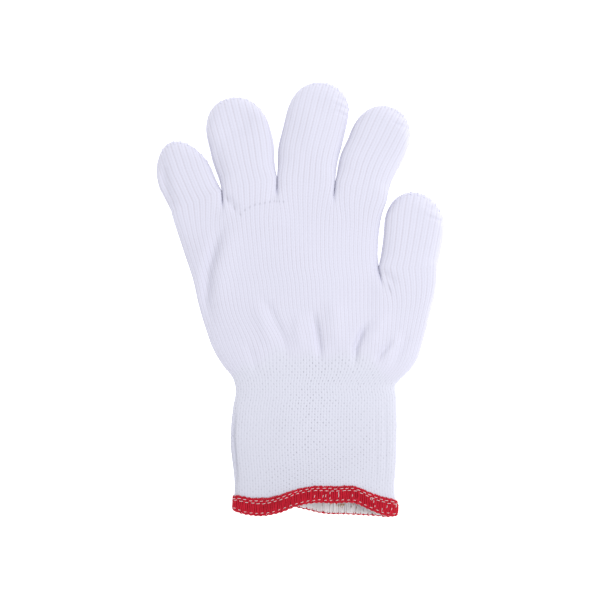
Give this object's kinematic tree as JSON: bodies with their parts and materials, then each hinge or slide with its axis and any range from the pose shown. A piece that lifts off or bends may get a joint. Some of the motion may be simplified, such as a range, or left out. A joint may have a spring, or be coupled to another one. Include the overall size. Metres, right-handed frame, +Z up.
{
  "type": "cut resistant glove",
  "caption": "Seamless knitted work glove lying flat and empty, with closed finger stalls, a ribbed elastic cuff and an overlocked hem; each finger flexes at its root.",
  "frame": {"origin": "point on the flat underside of the lower palm, on the surface the glove lies on, midway along its length and width", "axes": "+Y towards the fingertips, +X towards the thumb, +Z up out of the surface, through the glove's thickness"},
  "size_m": [0.1518, 0.2287, 0.013],
  "materials": {
    "knit": "matte knitted white yarn",
    "elastic": "matte",
    "hem_thread": "matte textured thread",
    "white_thread": "matte thread"
  },
  "bodies": {
    "palm": {"palm_upper": "knit", "palm_lower": "knit", "cuff": "knit", "cuff_elastic": "elastic", "hem_binding": "hem_thread", "hem_inner_loops": "white_thread", "hem_needle_threads_upper": "white_thread", "hem_needle_thread_lower": "white_thread", "pinky_ring_crotch": "white_thread", "ring_middle_crotch": "white_thread", "middle_index_crotch": "white_thread", "index_thumb_crotch": "white_thread"},
    "pinky": {"pinky_stall": "knit", "pinky_tip_closure": "white_thread"},
    "ring": {"ring_stall": "knit", "ring_tip_closure": "white_thread"},
    "middle": {"middle_stall": "knit", "middle_tip_closure": "white_thread"},
    "index": {"index_stall": "knit", "index_tip_closure": "white_thread"},
    "thumb": {"thumb_stall": "knit", "thumb_tip_closure": "white_thread"}
  },
  "joints": [
    {"name": "pinky_flex", "type": "hinge", "parent": "palm", "child": "pinky", "pos_m": [-0.0548, 0.0522, 0.011], "axis": [0.9275, 0.3738, 0], "range_deg": [0, 75]},
    {"name": "ring_flex", "type": "hinge", "parent": "palm", "child": "ring", "pos_m": [-0.0268, 0.0613, 0.011], "axis": [0.9694, 0.2457, 0], "range_deg": [0, 75]},
    {"name": "middle_flex", "type": "hinge", "parent": "palm", "child": "middle", "pos_m": [0.0032, 0.0637, 0.011], "axis": [0.9965, -0.0841, 0], "range_deg": [0, 75]},
    {"name": "index_flex", "type": "hinge", "parent": "palm", "child": "index", "pos_m": [0.03245, 0.05805, 0.011], "axis": [0.9541, -0.2996, 0], "range_deg": [0, 75]},
    {"name": "thumb_flex", "type": "hinge", "parent": "palm", "child": "thumb", "pos_m": [0.0573, 0.0168, 0.011], "axis": [0.9987, -0.0515, 0], "range_deg": [0, 60]}
  ]
}
